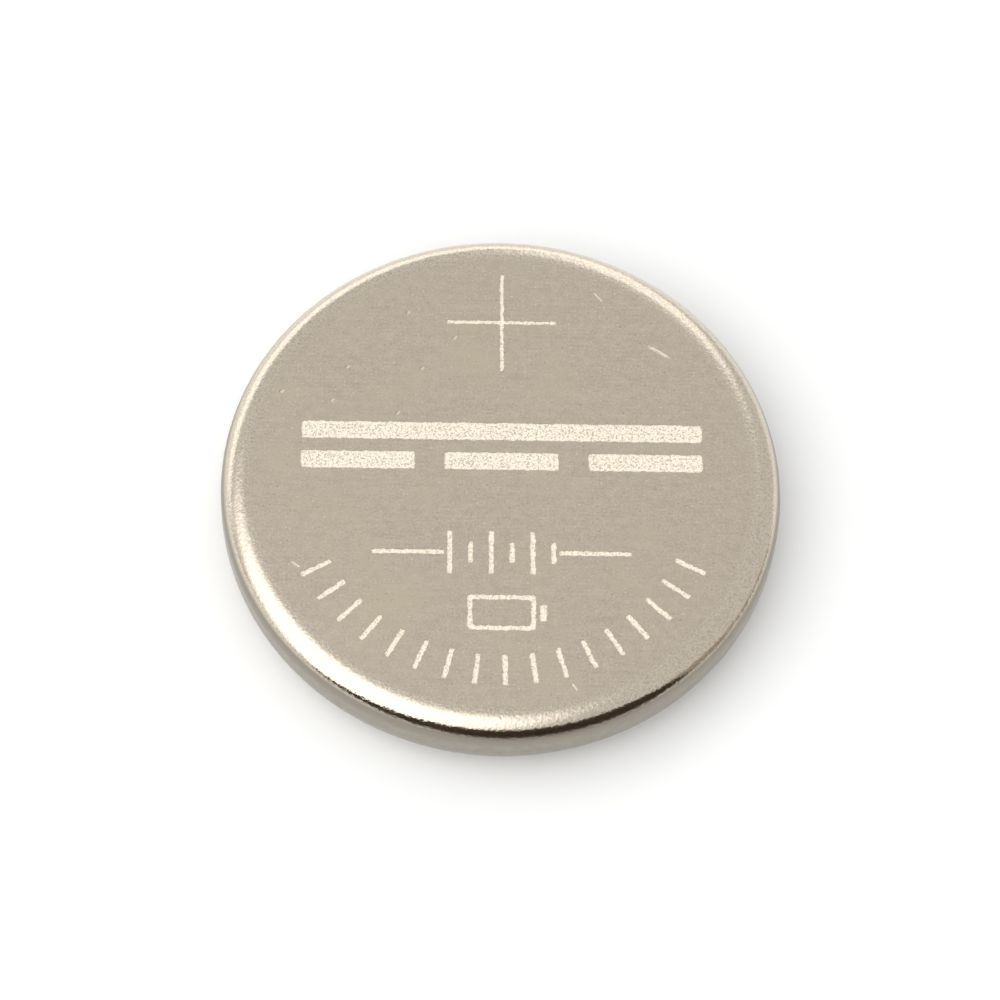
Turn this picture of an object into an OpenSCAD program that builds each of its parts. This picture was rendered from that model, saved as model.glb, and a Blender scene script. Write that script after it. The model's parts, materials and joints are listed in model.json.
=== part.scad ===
// Lithium coin cell, 12.5 mm across and 2 mm high.
// A drawn steel can holds the cathode. Its mouth is rolled in over a plastic gasket onto the
// shoulder of a stepped steel cap, and the cap holds the lithium.
// Units are millimetres and +Z is up. The cell rests on the cap's contact flat at Z = 0, its
// axis is the Z axis, and the positive face is on top.
//
// Both sheet parts are written as bend lists. A bend list follows the outside face of the sheet
// from the axis outwards, and each entry is [straight run, turn in degrees, radius of the turn].
// A left turn is positive. The inside face is the same list walked one sheet thickness further
// in, so the gasket, which is walked from the same lists, touches both sheets all the way round.

/* [Cell] */
// Outer diameter of the cell
cell_d = 12.5; // [12:0.1:20]
// Height over both contact faces
cell_h = 2.0; // [1.9:0.05:3.2]

/* [Positive can] */
// Sheet thickness of the can
can_sheet = 0.20; // [0.15:0.01:0.22]
// Outside radius between the positive face and the side wall
can_corner_r = 0.60; // [0.4:0.05:0.65]
// Outside radius of the rolled mouth
crimp_r = 0.95; // [0.85:0.01:1.0]
// Angle through which the mouth is rolled
crimp_turn = 102; // [96:1:106]
// Straight run of the lip after the roll
lip_run = 0.10; // [0.05:0.01:0.15]
// Height of the rolled mouth above the face that the cell rests on
lip_clear = 0.16; // [0.08:0.01:0.2]

/* [Gasket] */
// Gasket thickness between the sheets
gasket_t = 0.20; // [0.15:0.01:0.22]
// Thickness of the foot between the cap's edge and the can
foot_t = 0.25; // [0.15:0.01:0.3]
// Thickness of the wall inside the cap's skirt
upstand_t = 0.25; // [0.15:0.01:0.4]
// Height of the wall inside the cap's skirt, above the foot
upstand_h = 0.26; // [0.15:0.01:0.28]
// Length of gasket that shows past the can's lip
gasket_show = 0.08; // [0.04:0.01:0.1]
// Radius of the gasket's rounded edge
gasket_edge_r = 0.06; // [0.03:0.01:0.08]

/* [Negative cap] */
// Sheet thickness of the cap
cap_sheet = 0.20; // [0.15:0.01:0.22]
// Diameter of the contact flat
contact_d = 8.6; // [6:0.1:8.7]
// Angle of the step between the contact flat and the ledge
step_turn = 75; // [60:1:85]
// Outside radius at the edge of the contact flat
step_edge_r = 0.30; // [0.26:0.01:0.32]
// Outside radius at the foot of the step
step_root_r = 0.10; // [0.06:0.01:0.12]

/* [Contents] */
// Diameter of the lithium disc
lithium_d = 8.0; // [5:0.1:8.2]
// Thickness of the lithium disc
lithium_t = 0.40; // [0.2:0.01:0.45]
// Diameter of the separator
separator_d = 8.8; // [6:0.1:8.8]
// Thickness of the separator
separator_t = 0.12; // [0.05:0.01:0.15]
// Diameter of the cathode pellet
pellet_d = 8.4; // [6:0.1:9]
// Sheet thickness of the cathode ring
ring_sheet = 0.10; // [0.06:0.01:0.15]
// Width of the ring's flange under the pellet
ring_flange = 0.80; // [0.4:0.05:1.5]
// Height of the ring's wall round the pellet
ring_h = 0.55; // [0.3:0.05:0.7]

/* [Smoothness] */
// Facets round a full turn of the Z axis
$fn = 128; // [48:8:180]
// Length of the short straights that make up a bend
bend_chord = 0.06; // [0.04:0.01:0.1]
// Fewest short straights in a bend
bend_fewest = 5; // [3:1:8]

/* [Hidden] */

steel = "#BDB29F";
cap_steel = "#B7AFA0";
polymer = "#D9D4C6";
lithium = "#9EA1A6";
nonwoven = "#F0EFEA";
oxide = "#34332F";

// Heights of the faces that the pieces share
roll_z = lip_clear + crimp_r;
ledge_z = lip_clear + can_sheet + gasket_t;
floor_z = cell_h - can_sheet;
foot_z = floor_z - foot_t;
lithium_top = cap_sheet + lithium_t;
separator_top = lithium_top + separator_t;

// Radii of the faces that the pieces share
cell_r = cell_d / 2;
skirt_r = cell_r - can_sheet - gasket_t;
shoulder_r = crimp_r - can_sheet - gasket_t;
upstand_r = skirt_r - cap_sheet - upstand_t;
pellet_r = pellet_d / 2;
contact_r = contact_d / 2;

// The step rises to the ledge, and the ledge runs out to the shoulder
step_rise = (step_edge_r + step_root_r) * (1 - cos(step_turn));
step_run = (ledge_z - step_rise) / sin(step_turn);
step_reach = (step_edge_r + step_root_r) * sin(step_turn) + step_run * cos(step_turn);
ledge_run = skirt_r - shoulder_r - contact_r - step_reach;

// The mouth's bends, shared by the can and the gasket that lines it
mouth_bends = [
    [cell_h - can_corner_r - roll_z, -crimp_turn, crimp_r]
];
can_bends = concat(
    [[cell_r - can_corner_r, -90, can_corner_r]],
    mouth_bends,
    [[lip_run, 0, 0]]
);
gasket_bends = concat(
    [[cell_r - can_corner_r - upstand_r, -90, can_corner_r]],
    mouth_bends,
    [[lip_run + gasket_show, crimp_turn - 180, can_sheet + gasket_edge_r]]
);

// The cap's bends, of which the last two also shape the inside of the gasket
shoulder_bends = [
    [ledge_run, 90, shoulder_r],
    [foot_z - roll_z, 0, 0]
];
cap_bends = concat(
    [[contact_r, step_turn, step_edge_r], [step_run, -step_turn, step_root_r]],
    shoulder_bends
);

function ahead(angle) = [cos(angle), sin(angle)];
function left_of(angle) = [-sin(angle), cos(angle)];
function reversed(points) = [for (i = [len(points) - 1:-1:0]) points[i]];
function last(points) = points[len(points) - 1];

// Points along a turn that starts at a point with a given heading
function bend_points(start, heading, turn, radius) =
    let (
        side = sign(turn),
        centre = start + side * radius * left_of(heading),
        arc_length = PI * radius * abs(turn) / 180,
        count = max(bend_fewest, round(arc_length / bend_chord))
    )
    [for (i = [1:count]) centre - side * radius * left_of(heading + turn * i / count)];

// Points along a bend list, for a face that lies a given inset to the left of it
function walk(bends, start, heading, inset, i = 0) =
    i == len(bends) ? [] :
    let (
        turn = bends[i][1],
        corner = start + bends[i][0] * ahead(heading),
        radius = bends[i][2] - inset * sign(turn),
        curve = turn == 0 ? [] : bend_points(corner, heading, turn, radius),
        here = concat([corner], curve)
    )
    concat(here, walk(bends, last(here), heading + turn, inset, i + 1));

function face(bends, start, heading, inset) =
    let (first = start + inset * left_of(heading))
    concat([first], walk(bends, first, heading, inset));

// A bent sheet's section: its outside face, then its inside face back to the start
module sheet_section(bends, start, inset) {
    polygon(concat(face(bends, start, 0, 0), reversed(face(bends, start, 0, inset))));
}

module disc(radius, low, high) {
    translate([0, 0, low])
        cylinder(r = radius, h = high - low);
}

// Drawn cup, open downwards, with its mouth rolled in to hold the cap
module positive_can() {
    color(steel)
        rotate_extrude()
            sheet_section(can_bends, [0, cell_h], -can_sheet);
}

// Moulded ring that lines the can's mouth. It has a foot and an inner wall, and the cap's skirt
// stands in the groove between that wall and the outer one.
module sealing_gasket() {
    outside = face(gasket_bends, [upstand_r, cell_h], 0, -can_sheet);
    ledge_start = [contact_r + step_reach, ledge_z];
    inside = walk(shoulder_bends, ledge_start, 0, 0);
    seat = [last(outside)[0], ledge_z];
    groove = [
        [skirt_r - cap_sheet, foot_z],
        [skirt_r - cap_sheet, foot_z - upstand_h],
        [upstand_r, foot_z - upstand_h]
    ];
    color(polymer)
        rotate_extrude()
            polygon(concat(outside, [seat], inside, groove));
}

// Stepped pressing: contact flat, step, ledge under the can's lip, shoulder and skirt
module negative_cap() {
    color(cap_steel)
        rotate_extrude()
            sheet_section(cap_bends, [0, 0], cap_sheet);
}

// Anode, pressed onto the inside of the cap's contact flat
module lithium_disc() {
    color(lithium)
        disc(lithium_d / 2, cap_sheet, lithium_top);
}

// Non-woven disc between the two electrodes
module separator() {
    color(nonwoven)
        disc(separator_d / 2, lithium_top, separator_top);
}

// Pressed manganese dioxide tablet, rebated at its rim for the ring's flange
module cathode_pellet() {
    rebate_r = pellet_r - ring_flange;
    color(oxide)
        rotate_extrude()
            polygon([
                [0, separator_top],
                [pellet_r, separator_top],
                [pellet_r, floor_z - ring_sheet],
                [rebate_r, floor_z - ring_sheet],
                [rebate_r, floor_z],
                [0, floor_z]
            ]);
}

// Angle-section ring that stiffens the pellet's rim and joins it to the can
module cathode_ring() {
    ring_r = pellet_r + ring_sheet;
    color(steel)
        rotate_extrude()
            polygon([
                [pellet_r - ring_flange, floor_z],
                [ring_r, floor_z],
                [ring_r, floor_z - ring_h],
                [pellet_r, floor_z - ring_h],
                [pellet_r, floor_z - ring_sheet],
                [pellet_r - ring_flange, floor_z - ring_sheet]
            ]);
}

positive_can();
sealing_gasket();
negative_cap();
lithium_disc();
separator();
cathode_pellet();
cathode_ring();
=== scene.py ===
"""Dresses the lithium coin cell and stands it in a plain, pale studio.

The cell is a drawn steel can, positive face up, whose mouth is rolled over a gasket onto a
stepped cap. Those three pieces are drawn as bend lists and turned about the cell's axis, and the
marks and scratches of the positive face are cut into it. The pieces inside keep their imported
shape. Shapes are built in millimetres and scaled to metres once they are whole.
"""

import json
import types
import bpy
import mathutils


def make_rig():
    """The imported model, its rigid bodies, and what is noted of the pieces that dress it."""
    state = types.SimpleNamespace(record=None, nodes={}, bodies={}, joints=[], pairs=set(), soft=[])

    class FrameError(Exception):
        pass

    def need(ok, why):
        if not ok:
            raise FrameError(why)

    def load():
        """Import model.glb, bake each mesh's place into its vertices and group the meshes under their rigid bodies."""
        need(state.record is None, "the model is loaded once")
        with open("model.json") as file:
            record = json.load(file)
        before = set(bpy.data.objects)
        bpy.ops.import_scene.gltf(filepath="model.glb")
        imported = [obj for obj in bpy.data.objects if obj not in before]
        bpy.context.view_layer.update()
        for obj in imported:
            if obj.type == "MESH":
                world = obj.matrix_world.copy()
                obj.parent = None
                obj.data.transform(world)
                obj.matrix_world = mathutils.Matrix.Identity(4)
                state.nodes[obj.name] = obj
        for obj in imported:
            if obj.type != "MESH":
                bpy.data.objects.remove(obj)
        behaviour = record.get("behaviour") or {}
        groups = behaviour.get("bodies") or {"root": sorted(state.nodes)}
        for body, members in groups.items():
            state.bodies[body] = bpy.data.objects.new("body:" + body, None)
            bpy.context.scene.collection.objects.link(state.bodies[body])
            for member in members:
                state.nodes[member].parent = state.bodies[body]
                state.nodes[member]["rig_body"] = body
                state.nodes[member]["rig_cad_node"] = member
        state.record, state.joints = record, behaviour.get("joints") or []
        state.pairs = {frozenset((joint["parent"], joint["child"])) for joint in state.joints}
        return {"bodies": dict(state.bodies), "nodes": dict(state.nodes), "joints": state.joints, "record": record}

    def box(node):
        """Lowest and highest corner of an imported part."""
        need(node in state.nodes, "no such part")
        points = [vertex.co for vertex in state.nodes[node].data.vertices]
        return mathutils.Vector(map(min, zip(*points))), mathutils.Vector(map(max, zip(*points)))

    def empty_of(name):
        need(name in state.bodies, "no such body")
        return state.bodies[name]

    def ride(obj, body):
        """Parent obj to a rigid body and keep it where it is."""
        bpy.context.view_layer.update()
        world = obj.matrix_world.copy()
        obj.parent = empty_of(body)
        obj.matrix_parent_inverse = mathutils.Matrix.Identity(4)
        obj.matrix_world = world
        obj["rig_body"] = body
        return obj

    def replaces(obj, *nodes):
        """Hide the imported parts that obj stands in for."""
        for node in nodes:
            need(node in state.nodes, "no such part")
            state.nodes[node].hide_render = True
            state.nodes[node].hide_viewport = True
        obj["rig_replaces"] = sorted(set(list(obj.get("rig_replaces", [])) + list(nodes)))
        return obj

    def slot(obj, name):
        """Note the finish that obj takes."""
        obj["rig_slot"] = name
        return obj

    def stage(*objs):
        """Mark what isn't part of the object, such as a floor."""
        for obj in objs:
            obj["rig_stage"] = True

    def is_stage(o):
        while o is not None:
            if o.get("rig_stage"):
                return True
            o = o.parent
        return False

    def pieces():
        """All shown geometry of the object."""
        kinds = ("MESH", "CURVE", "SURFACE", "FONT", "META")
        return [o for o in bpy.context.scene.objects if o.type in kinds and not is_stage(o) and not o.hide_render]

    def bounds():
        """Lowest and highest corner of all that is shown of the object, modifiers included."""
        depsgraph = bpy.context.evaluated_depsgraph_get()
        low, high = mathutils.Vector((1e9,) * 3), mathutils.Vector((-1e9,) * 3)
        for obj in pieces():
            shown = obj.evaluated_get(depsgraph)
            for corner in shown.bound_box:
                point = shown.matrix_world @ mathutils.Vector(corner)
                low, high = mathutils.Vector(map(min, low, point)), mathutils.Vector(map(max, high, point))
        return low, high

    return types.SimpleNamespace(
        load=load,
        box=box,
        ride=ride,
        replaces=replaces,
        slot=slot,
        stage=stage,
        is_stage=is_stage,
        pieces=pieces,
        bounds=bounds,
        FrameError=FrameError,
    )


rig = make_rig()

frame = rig.load()

import json
import logging
from collections.abc import Iterator, Mapping, Sequence
from dataclasses import dataclass
from enum import Enum
from itertools import pairwise
from math import atan2, copysign, cos, degrees, pi, radians, sin, tan, tau
from pathlib import Path

import bmesh
import bpy
from bmesh.types import BMEdge, BMesh, BMFace, BMVert
from bpy.types import AreaLight, Material, NodeSocket, NodeTree, Object
from mathutils import Matrix, Vector, noise

MM = 0.001
# Distance within which two points are one, in mm
WELD = 0.0001
# Fewest straights in a turn of a section
FEWEST_STEPS = 8
# Straights in the rounded corner of a mark
CORNER_STEPS = 3
# Length of the straights and of the waves in the frayed outline of an etched mark, in mm
FRAY_STEP = 0.04
FRAY_GRAIN = 0.06
# Two layers of one noise pattern, for the waves' shares along X and along Y
FRAY_LAYERS = (Vector((0.0, 0.0, 0.5)), Vector((0.0, 0.0, 9.5)))
# Angle in degrees from which an edge stays sharp
CREASE = 18.0
BODY = "root"
SIZE_FILE = Path("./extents.json")
CAD_BOX = [list(corner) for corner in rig.bounds()]

# Two sizes, two coordinates or the two ends of a range
Pair = tuple[float, float]
# A shader value that is fixed or comes from a socket
Level = float | NodeSocket

log = logging.getLogger("coin_cell")


def metres(pair: Pair) -> Pair:
    """Turns two values in millimetres into metres."""
    return pair[0] * MM, pair[1] * MM


# Materials


def srgb(code: str) -> tuple[float, float, float, float]:
    """Turns an sRGB colour into the linear one that a shader takes.

    Args:
        code: The colour as six hex digits after a hash.

    Returns:
        Linear red, green and blue, with an alpha of 1.
    """
    parts = [int(code[i : i + 2], 16) / 255 for i in (1, 3, 5)]
    red, green, blue = (
        c / 12.92 if c <= 0.04045 else ((c + 0.055) / 1.055) ** 2.4 for c in parts
    )
    return red, green, blue, 1.0


def scale_of(size_mm: float) -> float:
    """Gives the noise scale at which one feature is about size_mm across."""
    return 1 / (size_mm * MM)


class Mix(Enum):
    """Sockets of a Mix node that mixes colours."""

    FACTOR = 0
    LOW = 6
    HIGH = 7
    RESULT = 2


def add_node(
    tree: NodeTree,
    kind: str,
    settings: Mapping[str, object] | None = None,
    inputs: Mapping[str | int | Mix, object] | None = None,
) -> bpy.types.Node:
    """Adds a node, with its settings and whatever feeds it.

    Args:
        tree: The node tree that the node goes into.
        kind: The node's type name.
        settings: Properties of the node, by name.
        inputs: Values, or output sockets to link, for the node's inputs.

    Returns:
        The new node.
    """
    node = tree.nodes.new(kind)
    for name, value in (settings or {}).items():
        setattr(node, name, value)
    for key, value in (inputs or {}).items():
        socket = node.inputs[key.value if isinstance(key, Mix) else key]
        if isinstance(value, NodeSocket):
            tree.links.new(value, socket)
        else:
            socket.default_value = value
    return node


@dataclass(frozen=True)
class Pattern:
    """The patterns and mixes of one node tree, which all follow one place.

    Attributes:
        tree: The node tree that the nodes go into.
        place: The socket of the vector that the patterns follow.
    """

    tree: NodeTree
    place: NodeSocket

    def noise(self, size_mm: float, detail: float = 2.0, **others: object) -> NodeSocket:
        """Adds a noise pattern.

        Args:
            size_mm: The size of one feature.
            detail: How many finer layers it has.
            others: Values for the node's other inputs, by name.

        Returns:
            The pattern's socket, with values near 0.5.
        """
        inputs = {"Vector": self.place, "Scale": scale_of(size_mm), "Detail": detail, **others}
        return add_node(self.tree, "ShaderNodeTexNoise", inputs=inputs).outputs["Fac"]

    def length(self, operation: str, other: tuple[float, float, float]) -> NodeSocket:
        """Measures the place's vector after one operation on it.

        Args:
            operation: The vector operation.
            other: The fixed vector that the operation takes.

        Returns:
            The socket of the length.
        """
        inputs = {0: self.place, 1: other}
        vector = add_node(self.tree, "ShaderNodeVectorMath", {"operation": operation}, inputs)
        inputs = {0: vector.outputs["Vector"]}
        measured = add_node(self.tree, "ShaderNodeVectorMath", {"operation": "LENGTH"}, inputs)
        return measured.outputs["Value"]

    def spread(
        self,
        value: NodeSocket,
        source: Pair,
        target: Pair = (0.0, 1.0),
        curve: str = "LINEAR",
    ) -> NodeSocket:
        """Maps one range of a value to another, clamped at both ends.

        Args:
            value: The socket that is mapped.
            source: The range to map from.
            target: The range to map to.
            curve: How it goes from one end to the other.

        Returns:
            The mapped socket.
        """
        ends = zip(("From Min", "From Max", "To Min", "To Max"), (*source, *target))
        inputs = {"Value": value, **dict(ends)}
        settings = {"interpolation_type": curve}
        return add_node(self.tree, "ShaderNodeMapRange", settings, inputs).outputs["Result"]

    def mix(self, share: Level, low: Level, high: Level) -> NodeSocket:
        """Mixes two values, with the high one where share is 1."""
        inputs = {0: share, 2: low, 3: high}
        return add_node(self.tree, "ShaderNodeMix", inputs=inputs).outputs[0]

    def tint(self, share: NodeSocket, under: str | NodeSocket, over: str) -> NodeSocket:
        """Lays a colour over another.

        Args:
            share: The socket that says how far the colour covers, up to 1.
            under: The colour below, as a socket or as six hex digits after a hash.
            over: The colour on top, as six hex digits after a hash.

        Returns:
            The mixed colour's socket.
        """
        low = srgb(under) if isinstance(under, str) else under
        inputs = {Mix.FACTOR: share, Mix.LOW: low, Mix.HIGH: srgb(over)}
        mixed = add_node(self.tree, "ShaderNodeMix", {"data_type": "RGBA"}, inputs)
        return mixed.outputs[Mix.RESULT.value]

    def bump(
        self, height: NodeSocket, depth: Level, under: NodeSocket | None = None
    ) -> NodeSocket:
        """Adds relief from a pattern.

        Args:
            height: The pattern's socket.
            depth: The relief's depth in metres.
            under: The socket of the relief that it lies on, if there is one.

        Returns:
            The socket of the bent normal.
        """
        inputs = {"Height": height, "Distance": depth}
        if under:
            inputs["Normal"] = under
        return add_node(self.tree, "ShaderNodeBump", inputs=inputs).outputs["Normal"]

    def surface(
        self,
        tone: NodeSocket,
        roughness: Level,
        relief: NodeSocket,
        metallic: float = 0.0,
        **others: float,
    ) -> NodeSocket:
        """Adds the shader of the surface.

        Args:
            tone: The socket of its colour.
            roughness: How dull it is.
            relief: The socket of its normal.
            metallic: 1 for bare metal.
            others: Values for the shader's other inputs, by name.

        Returns:
            The shader's socket.
        """
        inputs = {"Base Color": tone, "Metallic": metallic, "Roughness": roughness}
        inputs |= {"Normal": relief, **others}
        return add_node(self.tree, "ShaderNodeBsdfPrincipled", inputs=inputs).outputs["BSDF"]


@dataclass(frozen=True)
class Finish:
    """A surface finish, made as one procedural material.

    Attributes:
        name: The material's name, which says what it is and how it was made.
        tone: Its usual colour.
        shade: Its colour where it is darker, worn or dirty.
    """

    name: str
    tone: str
    shade: str

    def build(self) -> Material:
        """Makes the material from the finish's own shader."""
        material = bpy.data.materials.new(self.name)
        material.use_nodes = True
        tree = material.node_tree
        tree.nodes.clear()
        place = add_node(tree, "ShaderNodeTexCoord").outputs["Object"]
        shader = self.shade_surface(Pattern(tree, place))
        add_node(tree, "ShaderNodeOutputMaterial", inputs={"Surface": shader})
        return material

    def shade_surface(self, pattern: Pattern) -> NodeSocket:
        """Adds the nodes of the surface and gives the shader's socket."""
        raise NotImplementedError


@dataclass(frozen=True)
class DrawnSteel(Finish):
    """Cold-rolled stainless sheet, bright-annealed and then deep drawn.

    The flat keeps the sheet's satin skin, with straight rolling lines along X, small bright
    points and a faint straw tarnish in patches. The die has burnished the bend round it, where
    the stretched grain stands up as orange peel and breaks the edges of reflections. The wall
    below is duller, and its colour is darkened as painted shade, most of all just under the
    bend, for the dark surroundings that it reflects.

    A size in mm is that of a pattern's features. A span is the two noise values between which
    a tone comes in, and a least is the share of it that is there at the lower one. A radius or
    a height is the zone of the can over which one look gives way to the next.
    """

    tarnish: str = "#BDB49C"
    glint: str = "#D8CFBE"
    pepper: str = "#958C7C"
    burnish: str = "#D6CBBA"
    # Painted shade on the wall: darkest just under the bend and lighter lower down, for the dark surroundings that the
    # wall reflects
    painted_shade_under_bend: str = "#928C81"
    painted_wall_shade: str = "#A29C91"
    flat_roughness: float = 0.36
    bend_roughness: float = 0.13
    wall_roughness: float = 0.32
    mottle_mm: float = 0.22
    mottle_depth_mm: float = 0.0005
    speck_mm: float = 0.05
    speck_share: float = 0.65
    line_mm: float = 0.045
    line_length: float = 22.0
    line_share: float = 0.2
    line_depth_mm: float = 0.0003
    grain_span: Pair = (0.37, 0.63)
    tarnish_mm: float = 1.8
    tarnish_span: Pair = (0.45, 0.7)
    tarnish_most: float = 0.5
    glint_span: Pair = (0.68, 0.74)
    pepper_span: Pair = (0.31, 0.26)
    burnish_span: Pair = (0.36, 0.64)
    burnish_least: float = 0.35
    blotch_span: Pair = (0.35, 0.65)
    blotch_least: float = 0.4
    peel_mm: float = 0.075
    peel_detail: float = 2.5
    flat_peel_mm: float = 0.0006
    bend_peel_mm: float = 0.0058
    peel_r_mm: Pair = (5.47, 5.64)
    bend_r_mm: Pair = (5.52, 5.68)
    # Heights over which the painted shade under the bend comes in and the wall turns duller, then over which the
    # painted wall shade comes in
    painted_shade_z_mm: Pair = (1.78, 1.68)
    wall_z_mm: Pair = (1.66, 1.35)

    def shade_surface(self, pattern: Pattern) -> NodeSocket:
        """Adds the sheet's mottle and lines, the bend's peel, the wall's duller roughness and its painted shade."""
        mottle = pattern.noise(self.mottle_mm, detail=3.0)
        specks = pattern.noise(self.speck_mm)
        stretch = {"Vector": pattern.place, "Scale": (1 / self.line_length, 1.0, 1.0)}
        along = add_node(pattern.tree, "ShaderNodeMapping", inputs=stretch).outputs["Vector"]
        lines = pattern.noise(self.line_mm, detail=3.0, Vector=along)
        patches = pattern.noise(self.tarnish_mm, detail=3.0)

        radius = pattern.length("MULTIPLY", (1.0, 1.0, 0.0))
        parts = add_node(pattern.tree, "ShaderNodeSeparateXYZ", inputs={"Vector": pattern.place})
        height = parts.outputs["Z"]
        on_bend = pattern.spread(radius, metres(self.bend_r_mm))
        on_wall = pattern.spread(height, metres(self.painted_shade_z_mm))
        down_wall = pattern.spread(height, metres(self.wall_z_mm))

        grain = pattern.mix(self.speck_share, mottle, specks)
        grain = pattern.mix(self.line_share, grain, lines)
        tarnished = pattern.spread(patches, self.tarnish_span, (0.0, self.tarnish_most))
        sand = pattern.spread(specks, self.burnish_span, (self.burnish_least, 1.0))
        blotches = pattern.spread(mottle, self.blotch_span, (self.blotch_least, 1.0))
        tone = pattern.tint(pattern.spread(grain, self.grain_span), self.shade, self.tone)
        for share, colour in (
            (tarnished, self.tarnish),
            (pattern.spread(specks, self.glint_span), self.glint),
            (pattern.spread(specks, self.pepper_span), self.pepper),
            (pattern.mix(on_bend, 0.0, sand), self.burnish),
            # Painted shade: the wall darkened most just under the bend, then a little less lower down
            (on_wall, self.painted_shade_under_bend),
            (pattern.mix(down_wall, 0.0, blotches), self.painted_wall_shade),
        ):
            tone = pattern.tint(share, tone, colour)

        roughness = pattern.mix(on_bend, self.flat_roughness, self.bend_roughness)
        roughness = pattern.mix(on_wall, roughness, self.wall_roughness)
        peel_depths = metres((self.flat_peel_mm, self.bend_peel_mm))
        peel_depth = pattern.spread(radius, metres(self.peel_r_mm), peel_depths)
        relief = pattern.bump(pattern.noise(self.peel_mm, detail=self.peel_detail), peel_depth)
        relief = pattern.bump(mottle, self.mottle_depth_mm * MM, relief)
        relief = pattern.bump(lines, self.line_depth_mm * MM, relief)
        return pattern.surface(tone, roughness, relief, metallic=1.0)


@dataclass(frozen=True)
class EtchedSteel(Finish):
    """Floor of a mark etched into steel: frosted, pale, and flecked where bare metal shows."""

    fleck_share: float
    roughness: float = 0.7
    fleck_mm: float = 0.044
    fleck_softness: float = 0.05
    fleck_swirl: float = 0.8
    frost_mm: float = 0.03
    frost_depth_mm: float = 0.001

    def shade_surface(self, pattern: Pattern) -> NodeSocket:
        """Adds a chalky scale, with wormy flecks of the metal under it."""
        flecks = pattern.noise(self.fleck_mm, Distortion=self.fleck_swirl)
        edge = (self.fleck_share - self.fleck_softness, self.fleck_share + self.fleck_softness)
        tone = pattern.tint(pattern.spread(flecks, edge), self.shade, self.tone)
        relief = pattern.bump(pattern.noise(self.frost_mm), self.frost_depth_mm * MM)
        return pattern.surface(tone, self.roughness, relief)


@dataclass(frozen=True)
class PressedSteel(Finish):
    """Stainless sheet pressed between tools, with the fine stipple of their faces on it."""

    roughness: float = 0.3
    roughness_swing: float = 0.05
    cloud_mm: float = 1.2
    cloud_span: Pair = (0.3, 0.7)
    grain_mm: float = 0.07
    grain_share: float = 0.6
    grain_span: Pair = (0.38, 0.62)
    stipple_mm: float = 0.14
    stipple_depth_mm: float = 0.004

    def shade_surface(self, pattern: Pattern) -> NodeSocket:
        """Adds clouded, grainy satin steel with small round dents."""
        clouds = pattern.noise(self.cloud_mm, detail=4.0)
        grain = pattern.mix(self.grain_share, clouds, pattern.noise(self.grain_mm, detail=3.0))
        tone = pattern.tint(pattern.spread(grain, self.grain_span), self.shade, self.tone)
        swing = (self.roughness - self.roughness_swing, self.roughness + self.roughness_swing)
        roughness = pattern.spread(clouds, self.cloud_span, swing)
        cells = {"Vector": pattern.place, "Scale": scale_of(self.stipple_mm)}
        dents = add_node(pattern.tree, "ShaderNodeTexVoronoi", {"feature": "SMOOTH_F1"}, cells)
        relief = pattern.bump(dents.outputs["Distance"], self.stipple_depth_mm * MM)
        return pattern.surface(tone, roughness, relief, metallic=1.0)


@dataclass(frozen=True)
class PlainSolid(Finish):
    """An uncoated solid, whose tone and relief both follow its own grain."""

    roughness: float
    grain_mm: float
    grain_depth_mm: float
    metallic: float = 0.0
    milkiness: float = 0.0
    milky_depth_mm: float = 0.1
    grain_span: Pair = (0.35, 0.65)

    def shade_surface(self, pattern: Pattern) -> NodeSocket:
        """Adds a two-tone grain, with light spreading under the skin of a milky solid."""
        grain = pattern.noise(self.grain_mm, detail=4.0)
        tone = pattern.tint(pattern.spread(grain, self.grain_span), self.shade, self.tone)
        relief = pattern.bump(grain, self.grain_depth_mm * MM)
        milk = {
            "Subsurface Weight": self.milkiness,
            "Subsurface Scale": self.milky_depth_mm * MM,
        }
        return pattern.surface(tone, self.roughness, relief, self.metallic, **milk)


# Satin sheet steel: a warm grey that takes up the light round it, without clear reflections.
CAN_STEEL = DrawnSteel("stainless_sheet_deep_drawn", "#C4B8A8", "#AFA495")
# An etched line has few flecks, so it reads as one pale cream stroke with a broken edge.
ETCHED_LINE = EtchedSteel("stainless_etched_line", "#E6DCCA", "#BFB39E", 0.43)
# In a wide etched field about a third of the bare metal shows through as grey worms.
ETCHED_FIELD = EtchedSteel("stainless_etched_field", "#E4DAC8", "#ADA290", 0.45)
# Bared, burnished metal at the bottom of a scratch or pit: it glints where the face doesn't.
BARE_STEEL = PressedSteel("stainless_scratched", "#F2EADB", "#D9D0C0", 0.22)
# The cap's steel is the can's, but pressed from both sides, so it is greyer and finely dented.
CAP_STEEL = PressedSteel("stainless_sheet_pressed", "#CAC2B4", "#ADA495")
# Natural polypropylene: milky, with soft edges, because light spreads under its skin.
GASKET_POLYMER = PlainSolid(
    "polypropylene_moulded_natural", "#E6E1D4", "#D6D0C0", 0.4, 0.35, 0.001, milkiness=0.3
)
# Lithium foil tarnishes within seconds, which leaves a dull grey skin with no glint.
LITHIUM_FOIL = PlainSolid("lithium_foil_tarnished", "#A9ABAF", "#8C8E92", 0.5, 0.5, 0.004, 1.0)
# Non-woven polypropylene: a soft white felt of fine fibres.
FELT = PlainSolid("polypropylene_nonwoven_felt", "#F4F3EE", "#DEDCD4", 0.9, 0.06, 0.012)
# Manganese dioxide pressed with graphite: nearly black, with a dry powder's grain.
OXIDE = PlainSolid("manganese_dioxide_pressed", "#3C3B37", "#242320", 0.85, 0.12, 0.01)
# Thin rolled strip, plain and a little brighter than the drawn sheet.
RING_STEEL = PressedSteel("stainless_strip_rolled", "#C4BEB3", "#B3ADA2", 0.28)
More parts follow.
